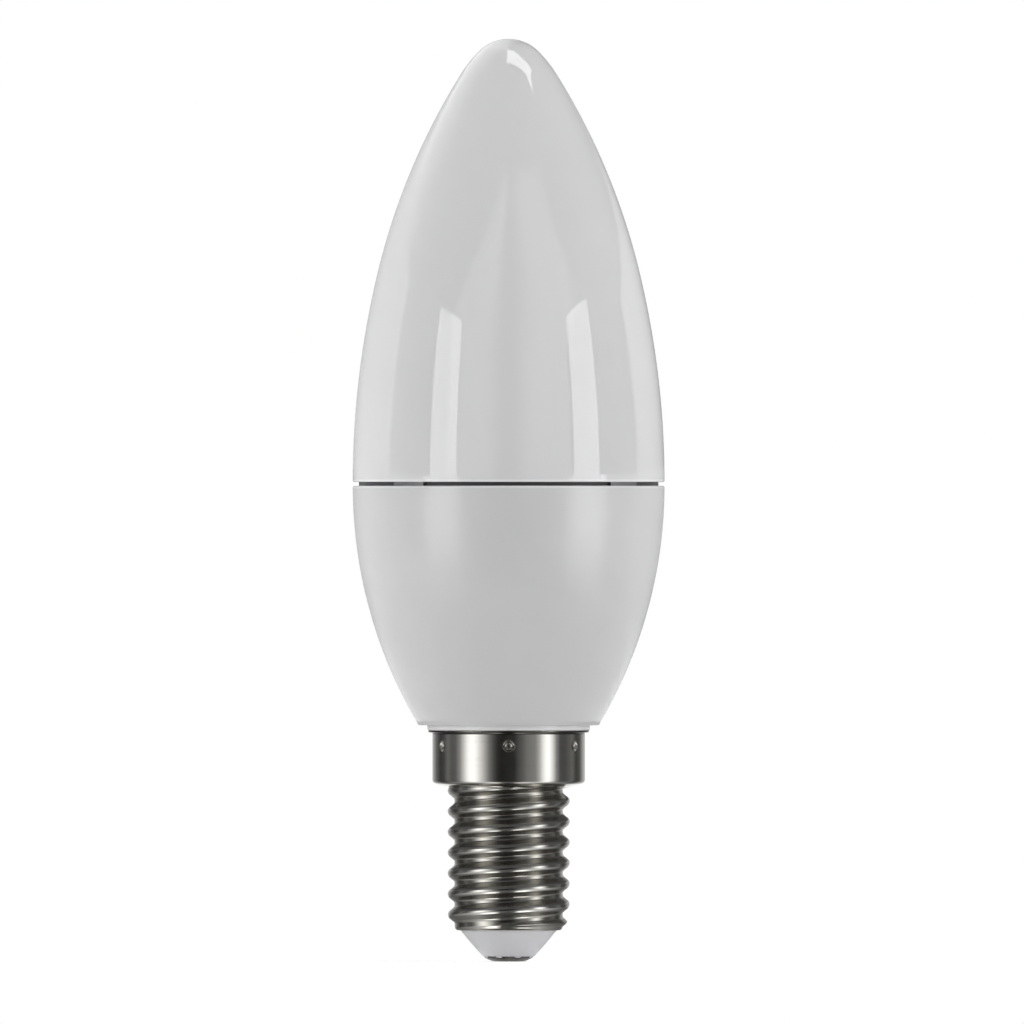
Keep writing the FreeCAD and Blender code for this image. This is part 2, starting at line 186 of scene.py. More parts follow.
def build_marks_group():
    """Marks of turning and rolling: noise laid out along the angle, the height and the radius, so
    that it runs in fine rings round the axis. Rings is how many per metre, Length how long they are."""
    group, start, end = new_group("turning_marks", {"Rings": 9000, "Length": 60, "Detail": 3}, ("Marks",))
    nodes, links = group.nodes, group.links
    x, y, z = own_place(nodes, links)
    radius = off_axis(nodes, links)
    join = nodes.new("ShaderNodeCombineXYZ")
    links.new(math_node(nodes, links, "MULTIPLY", x, start.outputs["Length"]), join.inputs["X"])
    links.new(math_node(nodes, links, "MULTIPLY", y, start.outputs["Length"]), join.inputs["Y"])
    across = math_node(nodes, links, "MULTIPLY_ADD", radius, 0.8, z)
    links.new(math_node(nodes, links, "MULTIPLY", across, start.outputs["Rings"]), join.inputs["Z"])
    noise = nodes.new("ShaderNodeTexNoise")
    noise.inputs["Scale"].default_value = 1
    noise.inputs["Roughness"].default_value = 0.55
    links.new(join.outputs[0], noise.inputs["Vector"])
    links.new(start.outputs["Detail"], noise.inputs["Detail"])
    links.new(noise.outputs["Fac"], end.inputs["Marks"])
    return group


def build_cloud_group():
    """Soft cloudy change over a surface: noise on the object's own coordinates, so many per metre."""
    group, start, end = new_group("soft_clouds", {"Scale": 120, "Detail": 3, "Distortion": 0}, ("Cloud",))
    nodes, links = group.nodes, group.links
    place = nodes.new("ShaderNodeTexCoord")
    noise = nodes.new("ShaderNodeTexNoise")
    links.new(place.outputs["Object"], noise.inputs["Vector"])
    for label in ("Scale", "Detail", "Distortion"):
        links.new(start.outputs[label], noise.inputs[label])
    links.new(noise.outputs["Fac"], end.inputs["Cloud"])
    return group


def build_band_group():
    """Band round a turned piece: one from Low to High above the ground, and zero a Blur beyond."""
    group, start, end = new_group("level_band", {"Low": 0, "High": 1, "Blur": 0.0001}, ("Band",))
    nodes, links = group.nodes, group.links
    height = own_place(nodes, links)[2]
    below = math_node(nodes, links, "SUBTRACT", start.outputs["Low"], height)
    above = math_node(nodes, links, "SUBTRACT", height, start.outputs["High"])
    beyond = math_node(nodes, links, "MAXIMUM", math_node(nodes, links, "MAXIMUM", below, above), 0)
    share = math_node(nodes, links, "DIVIDE", beyond, start.outputs["Blur"])
    kept = math_node(nodes, links, "MAXIMUM", math_node(nodes, links, "SUBTRACT", 1, share), 0)
    links.new(kept, end.inputs["Band"])
    return group


turning_marks, soft_clouds, level_band = build_marks_group(), build_cloud_group(), build_band_group()


def placed(nodes, group, **values):
    """A shader node group placed in a material with its own values; gives its only output."""
    node = nodes.new("ShaderNodeGroup")
    node.node_tree = group
    for label, value in values.items():
        node.inputs[label].default_value = value
    return node.outputs[0]


def shaded(nodes, links, mask, first, second):
    """Colour between two others, each a colour or a socket, by a mask; gives the Mix node's output."""
    mix = nodes.new("ShaderNodeMix")
    mix.data_type = "RGBA"
    links.new(mask, mix.inputs["Factor"])
    for label, colour in (("A", first), ("B", second)):
        if isinstance(colour, tuple):
            mix.inputs[label].default_value = (*colour, 1)
        else:
            links.new(colour, mix.inputs[label])
    return mix.outputs["Result"]


def bumped(nodes, links, shader, height, depth):
    """Bump of that depth in metres by a height mask, on the shader's normal."""
    bump = nodes.new("ShaderNodeBump")
    bump.inputs["Distance"].default_value = depth
    bump.inputs["Strength"].default_value = 1
    links.new(height, bump.inputs["Height"])
    links.new(bump.outputs["Normal"], shader.inputs["Normal"])


def tinned_contact():
    """Dull tin on brass: rings from the press tool, darker where hands and holders leave dirt."""
    material, nodes, links, shader = finish_material("contact_tin", (0.09, 0.087, 0.08), 0.3, 1.0)
    rings = placed(nodes, turning_marks, Rings=7000, Length=90, Detail=3)
    dirt = placed(nodes, soft_clouds, Scale=900, Detail=4, Distortion=0.4)
    worn = math_node(nodes, links, "MULTIPLY", rings, dirt)
    tone = ranged(nodes, links, worn, 0.12, 0.38, 0, 1)
    links.new(shaded(nodes, links, tone, (0.035, 0.033, 0.03), (0.14, 0.135, 0.125)),
              shader.inputs["Base Color"])
    links.new(ranged(nodes, links, dirt, 0.3, 0.7, 0.2, 0.36), shader.inputs["Roughness"])
    bumped(nodes, links, shader, rings, 0.00001)
    return material


contact_profile = outline(
    (0, 0), (contact_face - 0.1, 0, 4),
    (contact_face + 0.12, 0.012, 3, 1.0), (contact_rim - 0.02, flute_foot, 14, 2.6),
    (contact_rim, contact_rim_low, 3, 0.06), (contact_rim, contact_rim_high, 2),
    (contact_rim - contact_rim_edge, contact_top, 3, contact_rim_edge),
    (flute_inner, contact_top, 6), (stem, contact_top, 2),
    (stem, stem_end - stem_edge, 4), (stem - stem_edge, stem_end, 3, stem_edge), (0, stem_end, 2),
)
contact_angle = around(flute_count * 24)
contact_r, contact_h = spread(contact_profile, contact_angle)


def flute_dip(radius, angle):
    """How deep a flute is: each is a round bar's mark, lowest in its middle, and one of the lobes
    between the flutes faces the front. A flute stops short of the stem."""
    sector = 2 * np.pi / flute_count
    across = radius * np.sin((angle + np.pi / 2) % sector - sector / 2)
    bar = np.sqrt(np.clip(flute_radius ** 2 - across ** 2, 0, None)) - (flute_radius - flute_depth)
    return np.clip(bar, 0, None) * (radius > flute_inner - 1e-6)


up_rim = np.clip((contact_h - flute_foot) / (contact_top - flute_foot), 0, 1)
share_of_rim = up_rim * (contact_h < contact_top + 0.02)
contact_h = contact_h - flute_dip(contact_r, contact_angle) * share_of_rim
contact = lathe("contact_button", contact_r, contact_h, contact_angle)
contact.data.materials.append(tinned_contact())
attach(contact, "root")
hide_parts("centre_contact")


# Insulator: a smooth white cone pressed from urea plastic, with a neck through the cap's opening
# and a flange inside the cap. Its foot fills the contact's flutes, and its edge is a little rounded.
insulator_bore, insulator_foot, insulator_neck, insulator_flange = 0.85, 2.92, 5.4, 5.685
insulator_low, insulator_neck_low, insulator_flange_low, insulator_high = 0.58, 3.5, 3.8, 5.0
insulator_side_arc, insulator_edge_arc, insulator_flute_share = 60.0, 0.2, 0.92


def pressed_white():
    """Smooth cool white plastic with a faint flow of the press and a soft gloss."""
    material, nodes, links, shader = finish_material("insulator_urea", (0.72, 0.72, 0.735), 0.32)
    flow = placed(nodes, soft_clouds, Scale=260, Detail=2, Distortion=0)
    links.new(shaded(nodes, links, flow, (0.71, 0.71, 0.725), (0.73, 0.73, 0.745)),
              shader.inputs["Base Color"])
    links.new(ranged(nodes, links, flow, 0.3, 0.7, 0.38, 0.42), shader.inputs["Roughness"])
    grain = placed(nodes, soft_clouds, Scale=3000, Detail=2, Distortion=0)
    bumped(nodes, links, shader, grain, 0.000002)
    return material


insulator_profile = outline(
    (insulator_bore, insulator_high), (insulator_bore, insulator_low, 3),
    (flute_inner, insulator_low, 2), (contact_rim - 0.02, insulator_low, 8),
    (insulator_foot - 0.16, insulator_low, 1),
    (insulator_foot + 0.06, insulator_low + 0.115, 6, insulator_edge_arc),
    (insulator_neck, insulator_neck_low, 12, insulator_side_arc),
    (insulator_neck, insulator_flange_low, 1), (insulator_flange, insulator_flange_low, 1),
    (insulator_flange, insulator_high, 1), (insulator_bore, insulator_high, 3),
)[:-1]
insulator_r, insulator_h = spread(insulator_profile, contact_angle)
over_contact = (insulator_r < contact_rim) & (insulator_h < insulator_low + 0.01)
insulator_h = insulator_h - insulator_flute_share * flute_dip(insulator_r, contact_angle) * over_contact
insulator = lathe("insulator_cone", insulator_r, insulator_h, contact_angle)
insulator.data.materials.append(pressed_white())
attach(insulator, "root")
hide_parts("insulator")


# Screw cap: one drawn cup of nickel-plated sheet. Its thread is rolled, its rim curled in under the
# thread, its collar ends in a turned-out lip, and six punched pits hold it on the housing's plug.
cap_foot, cap_sheet, cap_opening, rim_curl = 3.5, 0.3, 5.5, 0.42
thread_crest, thread_root, thread_pitch, thread_flank = 6.85, 6.085, 2.32, math.radians(52)
thread_zero, run_out_height, run_out_blend, root_blend = 4.07, 0.62, 0.34, 0.06
shoulder_foot, shoulder_slope, shoulder_round = 19.36, math.radians(14.8), 0.45
collar, collar_foot, collar_top = 8.55, 20.011, 25.691
lip, lip_top, lip_turn, lip_low_edge, lip_top_edge = 9.03, 25.991, 0.2, 0.1, 0.08
pit_level, pit_radius, pit_depth, pit_count, pit_zone = 24.171, 0.6, 0.38, 6, 0.95


def thread_radius(angle, height):
    """Radius of the rolled thread: across one pitch, an arc at the crest, a straight flank and an
    equal arc at the root, carried round as a right-handed helix."""
    half = thread_pitch / 2
    depth = thread_crest - thread_root
    arc = (half * math.tan(thread_flank) - depth) / (2 * (1 / math.cos(thread_flank) - 1))
    turns = (height - thread_zero) / thread_pitch - angle / (2 * np.pi)
    away = np.abs((turns + 0.5) % 1 - 0.5) * thread_pitch
    reach = arc * math.sin(thread_flank)
    crest = thread_crest - arc + np.sqrt(np.clip(arc ** 2 - away ** 2, 0, None))
    root = thread_root + arc - np.sqrt(np.clip(arc ** 2 - (half - away) ** 2, 0, None))
    edge = thread_crest - arc * (1 - math.cos(thread_flank))
    flank = edge - (away - reach) * math.tan(thread_flank)
    return np.where(away < reach, crest, np.where(away > half - reach, root, flank))


def soft_largest(first, second, blend):
    """The larger of two surfaces with a fillet of about that blend where they cross."""
    gap = first - second
    return (first + second + np.sqrt(gap * gap + blend * blend)) / 2


def rolled_nickel():
    """Nickel plate, slightly warm, with fine rings from rolling. The thread's flanks are dull and darker,
    the punched pits are dull and carry painted shade, and the bend under the lip carries a dark line of
    painted shade; the crests are rubbed bright and the roots stay as they were plated."""
    material, nodes, links, shader = finish_material("nickel_cap", (0.62, 0.61, 0.575), 0.24, 1.0)
    rings = placed(nodes, turning_marks, Rings=6500, Length=70, Detail=4)
    cloud = placed(nodes, soft_clouds, Scale=420, Detail=4, Distortion=0.6)
    radius = off_axis(nodes, links)
    proud = ranged(nodes, links, radius, 0.00605, 0.0067, 0, 1)
    tone = math_node(nodes, links, "MULTIPLY", math_node(nodes, links, "ADD", rings, cloud), 0.5)
    tone = math_node(nodes, links, "MULTIPLY_ADD", proud, 0.5, tone)
    tone = ranged(nodes, links, tone, 0.35, 1.05, 0, 1)
    plate = shaded(nodes, links, tone, (0.48, 0.465, 0.425), (0.64, 0.63, 0.595))
    outward = ranged(nodes, links, radius, 0.00613, 0.00625, 0, 1)
    inward = ranged(nodes, links, radius, 0.00668, 0.00681, 1, 0)
    flank = math_node(nodes, links, "MULTIPLY", outward, inward)
    # Painted shade: inside the punched pits the plate is painted darker; the flanks are only darker and
    # duller.
    at_pits = placed(nodes, level_band, Low=0.02365, High=0.02495, Blur=0.0001)
    sunk = ranged(nodes, links, radius, 0.0083, 0.00846, 1, 0)
    dull_flanks_and_pit_shade = math_node(nodes, links, "MULTIPLY_ADD", at_pits, sunk, flank)
    plate_dark_flanks_pit_shade = shaded(nodes, links, dull_flanks_and_pit_shade, plate, (0.36, 0.35, 0.32))
    # Painted shade: a dark line in the bend under the lip.
    painted_shade_under_lip = placed(nodes, level_band, Low=0.02554, High=0.02584, Blur=0.00006)
    links.new(shaded(nodes, links, painted_shade_under_lip, plate_dark_flanks_pit_shade, (0.13, 0.125, 0.115)), shader.inputs["Base Color"])
    clouded = math_node(nodes, links, "MULTIPLY_ADD", proud, -0.25, cloud)
    plain = ranged(nodes, links, clouded, 0.1, 0.7, 0.07, 0.13)
    links.new(math_node(nodes, links, "MULTIPLY_ADD", dull_flanks_and_pit_shade, 0.13, plain), shader.inputs["Roughness"])
    bumped(nodes, links, shader, rings, 0.0000008)
    return material


# Columns crowd together round each pit, and rows crowd together at the pits' level.
pit_step = 2 * np.pi / pit_count
within = np.linspace(-0.5, 0.5, 56, endpoint=False)
crowded = within * (0.3 + 2.8 * within ** 2)
cap_angle = (np.arange(pit_count)[:, None] * pit_step - np.pi / 2 + crowded * pit_step).reshape(-1)
corner = math.tan((math.pi / 2 - shoulder_slope) / 2) * shoulder_round
shoulder_end = (collar - corner * math.cos(shoulder_slope), collar_foot - corner * math.sin(shoulder_slope))
# The lip bends out with its hollow outwards, so its arc has a minus.
outer_profile = outline(
    (cap_opening, cap_foot), (thread_root - rim_curl, cap_foot, 2),
    (thread_root, cap_foot + rim_curl, 8, rim_curl), (thread_root, shoulder_foot, 158),
    (*shoulder_end, 14), (collar, collar_foot + corner, 8, shoulder_round),
    (collar, pit_level - pit_zone, 5), (collar, pit_level + pit_zone, 37),
    (collar, collar_top - lip_turn, 2), (collar + lip_turn, collar_top, 6, -lip_turn),
    (lip - lip_low_edge, collar_top, 1), (lip, collar_top + lip_low_edge, 4, lip_low_edge),
    (lip, lip_top - lip_top_edge, 1), (lip - lip_top_edge, lip_top, 4, lip_top_edge),
)
corner_lift = cap_sheet * (1 - math.sin(shoulder_slope)) / math.cos(shoulder_slope)
inner_collar, inner_root = collar - cap_sheet, thread_root - cap_sheet
inner_profile = outline(
    (lip - lip_top_edge, lip_top), (inner_collar, lip_top, 1),
    (inner_collar, pit_level + pit_zone, 1), (inner_collar, pit_level - pit_zone, 16),
    (inner_collar, collar_foot + corner_lift, 1), (inner_root, shoulder_foot + corner_lift, 1),
    (inner_root, cap_foot + cap_sheet, 3), (cap_opening, cap_foot + cap_sheet, 1),
    (cap_opening, cap_foot, 1),
)[1:-1]
outer_r, outer_h = spread(outer_profile, cap_angle)
threaded = (outer_h > cap_foot + 0.05) & (outer_h < collar_foot + 0.02)
rolled = thread_radius(cap_angle, outer_h)
# At the bottom the thread runs out on a slope, and at the top it goes into the shoulder.
run_out_slope = (thread_crest - thread_root) / run_out_height
run_out = thread_root + 0.05 + (outer_h - cap_foot - rim_curl) * run_out_slope
rolled = -soft_largest(-rolled, -run_out, run_out_blend)
on_ridge = soft_largest(outer_r, rolled, root_blend) - root_blend / 2 * (rolled < outer_r + 0.1)
outer_r = np.where(threaded, on_ridge, outer_r)
from_pit = (cap_angle + np.pi / 2 + pit_step / 2) % pit_step - pit_step / 2


def pit_sink(radius, height):
    """How far a punched pit sinks the collar: a ball's cap in the middle, with a soft raised edge."""
    away = np.hypot(radius * np.sin(from_pit), height - pit_level)
    ball = (pit_radius ** 2 + pit_depth ** 2) / (2 * pit_depth)
    bowl = np.sqrt(np.clip(ball ** 2 - away ** 2, 0, None)) - (ball - pit_depth)
    lip_of_pit = 0.016 * np.exp(-((away - pit_radius - 0.02) / 0.07) ** 2)
    return np.clip(bowl, 0, None) - lip_of_pit * (away < pit_radius + 0.4)


on_collar = (outer_r > collar - 0.01) & (outer_r < collar + 0.01) & (outer_h > collar_foot + corner)
outer_r = outer_r - pit_sink(outer_r, outer_h) * on_collar
inner_r, inner_h = spread(inner_profile, cap_angle)
behind_pits = (inner_r > inner_collar - 0.01) & (np.abs(inner_h - pit_level) < pit_zone + 0.01)
inner_r = inner_r - np.clip(pit_sink(inner_r, inner_h), 0, None) * behind_pits
cap = lathe("screw_cap", np.concatenate([outer_r, inner_r]), np.concatenate([outer_h, inner_h]),
            cap_angle, crease=50)
cap.data.materials.append(rolled_nickel())
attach(cap, "root")
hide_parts("screw_shell")


# Housing: the moulded satin white lower half. Its side swells in one long arc from the cap up to
# the joint, its neck stands on the cap's lip, and its stepped plug fills the cap.
neck, neck_foot, neck_top, neck_edge = 9.12, 25.991, 26.521, 0.05
housing_foot, foot_in, foot_out, foot_up, foot_round = 10.13, 0.14, 0.075, 0.13, 0.15
housing_top, widest, rim_round, rim_fall = 53.371, 17.5, 0.18, 0.0009
plate_room, plate_seat, hub = 16.85, 0.6, 0.5
plug, plug_foot, plug_stem, stem_top, stem_foot = 8.15, 20.342, 5.685, 19.691, 5.1
hollow_ball, hollow_centre, hollow_zone = 1.064, 0.684, 1.3


def satin_plastic():
    """Satin white plastic: spark-eroded grain of a tenth of a millimetre, faint flow clouds, and a
    soft gloss that changes a little with the grain. Pale bands at the rim by the joint and round the neck
    are painted highlights."""
    material, nodes, links, shader = finish_material("housing_pbt", (0.55, 0.55, 0.555), 0.32)
    grain = placed(nodes, soft_clouds, Scale=7000, Detail=2, Distortion=0)
    flow = placed(nodes, soft_clouds, Scale=90, Detail=3, Distortion=1.2)
    # Painted highlights: pale bands along the rim at the joint and round the neck over the cap.
    rim_highlight_band = placed(nodes, level_band, Low=0.05322, High=0.0534, Blur=0.00016)
    foot = placed(nodes, level_band, Low=0.0259, High=0.0264, Blur=0.0002)
    tone = math_node(nodes, links, "MULTIPLY", flow, 0.5)
    tone = math_node(nodes, links, "MULTIPLY_ADD", rim_highlight_band, 1.5, tone)
    tone = math_node(nodes, links, "MULTIPLY_ADD", foot, 2.6, tone)
    tone = math_node(nodes, links, "DIVIDE", tone, 3.2)
    links.new(shaded(nodes, links, tone, (0.54, 0.54, 0.545), (0.8, 0.8, 0.8)), shader.inputs["Base Color"])
    gloss = math_node(nodes, links, "MULTIPLY_ADD", grain, 0.4, flow)
    links.new(ranged(nodes, links, gloss, 0.45, 0.95, 0.2, 0.26), shader.inputs["Roughness"])
    bumped(nodes, links, shader, grain, 0.000012)
    return material


swell, rise = widest - housing_foot, housing_top - neck_top
side_arc = (rise ** 2 + swell ** 2) / (2 * swell)
housing_profile = outline(
    (0, stem_foot), (hub, stem_foot, 1), (plug_stem, stem_foot, 2), (plug_stem, stem_top, 2),
    (plug, plug_foot, 1), (plug, pit_level - hollow_zone, 1), (plug, pit_level + hollow_zone, 20),
    (plug, neck_foot, 1), (neck - neck_edge, neck_foot, 1),
    (neck, neck_foot + neck_edge, 3, neck_edge), (neck, neck_top, 2),
    (housing_foot - foot_in, neck_top, 1),
    (housing_foot + foot_out, neck_top + foot_up, 6, foot_round),
    (widest - rim_fall, housing_top - rim_round, 70, side_arc),
    (widest - rim_round, housing_top, 6, rim_round), (plate_room, housing_top, 1),
    (plate_room, housing_top - plate_seat, 1), (hub, housing_top - plate_seat, 2),
    (0, housing_top - plate_seat, 1),
)
housing_r, housing_h = spread(housing_profile, cap_angle)
# The plug has hollows where the cap's pits come in.
on_plug = (np.abs(housing_r - plug) < 0.01) & (np.abs(housing_h - pit_level) < hollow_zone)
away = np.hypot(housing_r * np.sin(from_pit), housing_h - pit_level)
hollow = np.sqrt(np.clip(hollow_ball ** 2 - away ** 2, 0, None)) - hollow_centre
housing_r = housing_r - np.clip(hollow, 0, None) * on_plug
housing = lathe("housing_body", housing_r, housing_h, cap_angle)
housing.data.materials.append(satin_plastic())
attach(housing, "root")
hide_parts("housing")


# Carrier plate: a punched aluminium disc pressed into both halves. Only its edge shows, painted dark
# as the shade of the joint's groove, with four tabs that come nearly out to the surface, painted lighter.
plate_radius, plate_low, plate_high = 16.8, 52.771, 54.391
tab_reach, tab_half, tab_low, tab_high, tab_ridge = 17.2, 2.2, 53.371, 53.791, 0.001
tab_angles = np.radians(np.array([49.0, 139.0, 229.0, 319.0]) - 90)


def punched_aluminium():
    """Aluminium sheet with a punched edge: fine rings, dull and painted dark as shade towards the groove's
    depth, lighter at the tabs.
    """
    material, nodes, links, shader = finish_material("plate_aluminium", (0.55, 0.55, 0.56), 0.42, 1.0)
    rings = placed(nodes, turning_marks, Rings=12000, Length=200, Detail=2)
    out_of_painted_shade = ranged(nodes, links, off_axis(nodes, links), 0.01685, 0.01705, 0, 1)
    tone = math_node(nodes, links, "MULTIPLY_ADD", rings, 0.1, out_of_painted_shade)
    # Painted shade: the edge is dark deep in the groove and lighter out at the tabs.
    links.new(shaded(nodes, links, tone, (0.045, 0.045, 0.047), (0.125, 0.125, 0.128)),
              shader.inputs["Base Color"])
    links.new(out_of_painted_shade, shader.inputs["Metallic"])
    shader.inputs["Specular IOR Level"].default_value = 0.15
    links.new(ranged(nodes, links, rings, 0.3, 0.7, 0.36, 0.5), shader.inputs["Roughness"])
    bumped(nodes, links, shader, rings, 0.000006)
    return material


plate_profile = outline(
    (0, plate_low), (hub, plate_low, 1), (plate_radius, plate_low, 3), (plate_radius, tab_low, 2),
    (plate_radius + tab_ridge, tab_low, 1), (plate_radius + tab_ridge, tab_high, 4),
    (plate_radius, tab_high, 1), (plate_radius, plate_high, 2), (hub, plate_high, 3), (0, plate_high, 1),
)
# Columns stand close together at the tabs' corners, so that the tabs stay square.
tab_turn = math.asin(tab_half / tab_reach)
tab_sides = (tab_angles[:, None] + np.array([-1, 1]) * tab_turn).reshape(-1, 1)
beside_corners = (tab_sides + np.array([-0.001, 0.001])).reshape(-1)
plate_angle = np.sort(np.concatenate([around(240), beside_corners % (2 * np.pi)]))
plate_r, plate_h = spread(plate_profile, plate_angle)
from_tab = (plate_angle - tab_angles[0] + np.pi / 4) % (np.pi / 2) - np.pi / 4
is_tab = (np.abs(from_tab) < tab_turn) & (plate_r > plate_radius + tab_ridge / 2)
plate_r = np.where(is_tab, tab_reach, plate_r)
plate = lathe("carrier_disc", plate_r, plate_h, plate_angle, crease=30)
plate.data.materials.append(punched_aluminium())
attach(plate, "root")
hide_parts("carrier_plate")


# Diffuser: the blown opal candle. Tip, crown, flank and belly are four arcs that meet without a
# corner, upright at the joint, with a rounded rim and a recess for the carrier plate.
diffuser_foot, diffuser_tip = 53.791, 103.521
tip_arc, crown_arc = 4.7, 14.3
arc_turns = (44.7, 13.3, 18.24)


def candle_profile(steps):
    """Radius and height up the candle's outside: each arc starts where the one above it ends, and the
    last two radii follow from the wish that the belly ends upright at the greatest radius."""
    starts = np.radians(90 - np.cumsum((0, *arc_turns, 90 - sum(arc_turns))))
    r, z = 0.0, diffuser_tip
    for arc, first, last in zip((tip_arc, crown_arc), starts, starts[1:]):
        r += arc * (math.cos(last) - math.cos(first))
        z -= arc * (math.sin(first) - math.sin(last))
    fall, grow = -np.diff(np.sin(starts[2:])), np.diff(np.cos(starts[2:]))
    flank_arc, belly_arc = np.linalg.solve([grow, fall], [widest - r, z - diffuser_foot])
    arcs = (tip_arc, crown_arc, flank_arc, belly_arc)
    turns = [np.linspace(a, b, n, endpoint=False) for a, b, n in zip(starts, starts[1:], steps)]
    angle = np.append(np.concatenate(turns), 0.0)
    size_of = np.repeat(arcs, steps)
    r = np.concatenate([[0], np.cumsum(size_of * np.diff(np.cos(angle)))])
    z = diffuser_tip + np.concatenate([[0], np.cumsum(size_of * np.diff(np.sin(angle)))])
    return np.stack([r, z], -1)[::-1]


def opal_plastic():
    """Opal plastic: milky all through, so that light spreads in it, under a clear even gloss with the
    faintest waviness from blowing. A pale band along the rim at the joint is a painted highlight."""
    material, nodes, links, shader = finish_material("diffuser_opal", (0.67, 0.67, 0.675), 0.05)
    milk = placed(nodes, soft_clouds, Scale=70, Detail=2, Distortion=0.6)
    # Painted highlight: a pale band along the diffuser's rim at the joint.
    rim_highlight_band = placed(nodes, level_band, Low=0.0537, High=0.05395, Blur=0.0002)
    tone = math_node(nodes, links, "MULTIPLY_ADD", milk, 0.2, rim_highlight_band)
    links.new(shaded(nodes, links, tone, (0.655, 0.655, 0.66), (0.8, 0.8, 0.8)), shader.inputs["Base Color"])
    smear = placed(nodes, soft_clouds, Scale=240, Detail=5, Distortion=1.5)
    links.new(ranged(nodes, links, smear, 0.35, 0.75, 0.02, 0.045), shader.inputs["Roughness"])
    shader.inputs["IOR"].default_value = 1.49
    shader.inputs["Subsurface Weight"].default_value = 0.3
    shader.inputs["Subsurface Radius"].default_value = (1.0, 0.98, 0.95)
    shader.inputs["Subsurface Scale"].default_value = 0.002
    bumped(nodes, links, shader, milk, 0.00002)
    return material


candle = candle_profile((34, 12, 34, 34))
seat_level = diffuser_foot + plate_seat
recess_and_rim = outline(
    (0, seat_level), (hub, seat_level, 1), (plate_room, seat_level, 2), (plate_room, diffuser_foot, 1),
    (widest - rim_round, diffuser_foot, 1), (widest, diffuser_foot + rim_round, 6, rim_round),
)
over_rim = candle[candle[:, 1] > diffuser_foot + 0.3]
diffuser_angle = around(256)
diffuser_r, diffuser_h = spread(np.concatenate([recess_and_rim, over_rim]), diffuser_angle)
diffuser = lathe("diffuser_candle", diffuser_r, diffuser_h, diffuser_angle)
diffuser.data.materials.append(opal_plastic())
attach(diffuser, "root")
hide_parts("diffuser")


# Camera: level and far off, with the lamp a little left of the picture's middle, as photographed.
view_width, view_distance, view_height, view_shift, sensor = 0.1149, 4.0, 0.05043, 0.000376, 36
camera_data = bpy.data.cameras.new("studio_camera")
camera_data.sensor_width = sensor
camera_data.lens = sensor * view_distance / view_width
camera_data.clip_start, camera_data.clip_end = 0.5, 20
camera = bpy.data.objects.new("studio_camera", camera_data)
camera.location = (view_shift, -view_distance, view_height)
camera.rotation_euler = (math.radians(90), 0, 0)
bpy.context.scene.collection.objects.link(camera)
bpy.context.scene.camera = camera


# Floor: a pale sheet under the lamp that keeps its shadow and fades into the white ground.
def camera_sees(nodes, links):
    """One where a ray comes from the camera, a mirror or glass, and zero for light that spreads."""
    path = nodes.new("ShaderNodeLightPath")
    seen = math_node(nodes, links, "MAXIMUM", path.outputs["Is Camera Ray"], path.outputs["Is Glossy Ray"])
    return math_node(nodes, links, "MAXIMUM", seen, path.outputs["Is Transmission Ray"])


def pale_floor():
    """Pale matt paper near the lamp, plain white further out."""
    material, nodes, links, shader = finish_material("floor_paper", (0.9, 0.9, 0.9), 0.9)
    shader.inputs["Emission Color"].default_value = (1, 1, 1, 1)
    links.new(math_node(nodes, links, "MULTIPLY", camera_sees(nodes, links), 0.5),
              shader.inputs["Emission Strength"])
    shader.inputs["Specular IOR Level"].default_value = 0
    far = ranged(nodes, links, off_axis(nodes, links), 0.006, 0.032, 0, 1)
    white = nodes.new("ShaderNodeEmission")
    mix = nodes.new("ShaderNodeMixShader")
    links.new(math_node(nodes, links, "MULTIPLY", far, camera_sees(nodes, links)), mix.inputs[0])
    links.new(shader.outputs[0], mix.inputs[1])
    links.new(white.outputs[0], mix.inputs[2])
    links.new(mix.outputs[0], nodes["Material Output"].inputs["Surface"])
    return material


floor_half = 3.0
floor_mesh = bpy.data.meshes.new("floor")
floor_mesh.from_pydata([(-floor_half, -floor_half, 0), (floor_half, -floor_half, 0),
                        (floor_half, floor_half, 0), (-floor_half, floor_half, 0)], [], [(0, 1, 2, 3)])
floor_mesh.materials.append(pale_floor())
floor = bpy.data.objects.new("floor", floor_mesh)
bpy.context.scene.collection.objects.link(floor)


# World: white where it is seen, and a plain soft light where it lights.
world = bpy.data.worlds.new("studio")
world.use_nodes = True
bpy.context.scene.world = world
world_nodes, world_links = world.node_tree.nodes, world.node_tree.links
seen = camera_sees(world_nodes, world_links)
ambient = 0.39
world_links.new(math_node(world_nodes, world_links, "MULTIPLY_ADD", seen, 1 - ambient, ambient),
                world_nodes["Background"].inputs["Strength"])
world_nodes["Background"].inputs["Color"].default_value = (1, 1, 1, 1)


# Cards: curved sheets round the lamp that only show in its gloss. The large ones are a dark curtain,
# white walls to the sides and a fill in front. A small ring of flags stands round the cap, with level
# sheets over and under it, and a band stands round the housing on a sheet of its own.
def card_glow():
    """Even glow of a card, as bright as the glow written on its mesh; from behind it isn't there."""
    material = bpy.data.materials.new("card_glow")
    material.use_nodes = True
    nodes, links = material.node_tree.nodes, material.node_tree.links
    nodes.remove(nodes["Principled BSDF"])
    level = nodes.new("ShaderNodeAttribute")
    level.attribute_name = "glow"
    glow = nodes.new("ShaderNodeEmission")
    links.new(level.outputs["Fac"], glow.inputs["Strength"])
    side = nodes.new("ShaderNodeNewGeometry")
    clear = nodes.new("ShaderNodeBsdfTransparent")
    mix = nodes.new("ShaderNodeMixShader")
    links.new(side.outputs["Backfacing"], mix.inputs[0])
    links.new(glow.outputs[0], mix.inputs[1])
    links.new(clear.outputs[0], mix.inputs[2])
    links.new(mix.outputs[0], nodes["Material Output"].inputs["Surface"])
    return material


card_material = card_glow()


